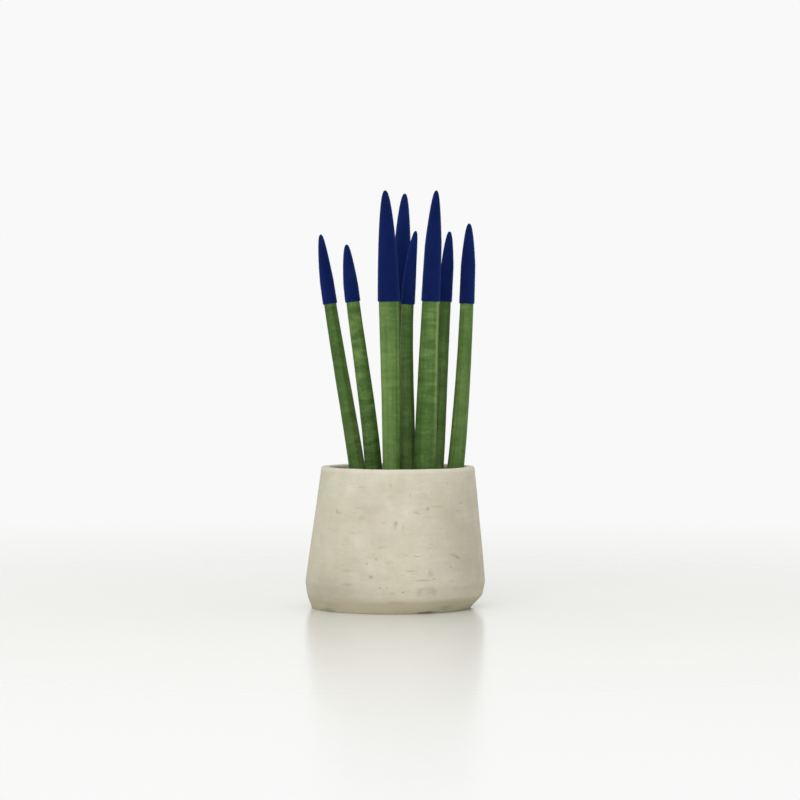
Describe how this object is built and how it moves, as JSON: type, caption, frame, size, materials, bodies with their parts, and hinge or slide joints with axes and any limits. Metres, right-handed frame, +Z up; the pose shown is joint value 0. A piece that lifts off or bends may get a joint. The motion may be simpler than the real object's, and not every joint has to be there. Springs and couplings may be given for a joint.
{
  "type": "cylindrical snake plant in pot",
  "caption": "Cylindrical snake plant: upright round leaves with dark blue velvet-coated tips, standing in soil in a tapered cement pot with a flat base.",
  "frame": {"origin": "bottom centre of the whole plant's box, on the surface that the pot's flat base stands on, under the middle of the pot's widest ring", "axes": "+Z up along the pot's axis and the leaves, +X to the right and -Y towards the viewer of the pictured side"},
  "size_m": [0.1498, 0.1498, 0.3467],
  "materials": {
    "cement": "matte",
    "potting_soil": "matte",
    "leaf_skin": "satin",
    "navy_velvet": "matte"
  },
  "bodies": {
    "root": {"pot": "cement", "soil": "potting_soil", "leaf_1": "leaf_skin", "leaf_2": "leaf_skin", "leaf_3": "leaf_skin", "leaf_4": "leaf_skin", "leaf_5": "leaf_skin", "leaf_6": "leaf_skin", "leaf_7": "leaf_skin", "leaf_8": "leaf_skin", "velvet_1": "navy_velvet", "velvet_2": "navy_velvet", "velvet_3": "navy_velvet", "velvet_4": "navy_velvet", "velvet_5": "navy_velvet", "velvet_6": "navy_velvet", "velvet_7": "navy_velvet", "velvet_8": "navy_velvet"}
  },
  "joints": []
}
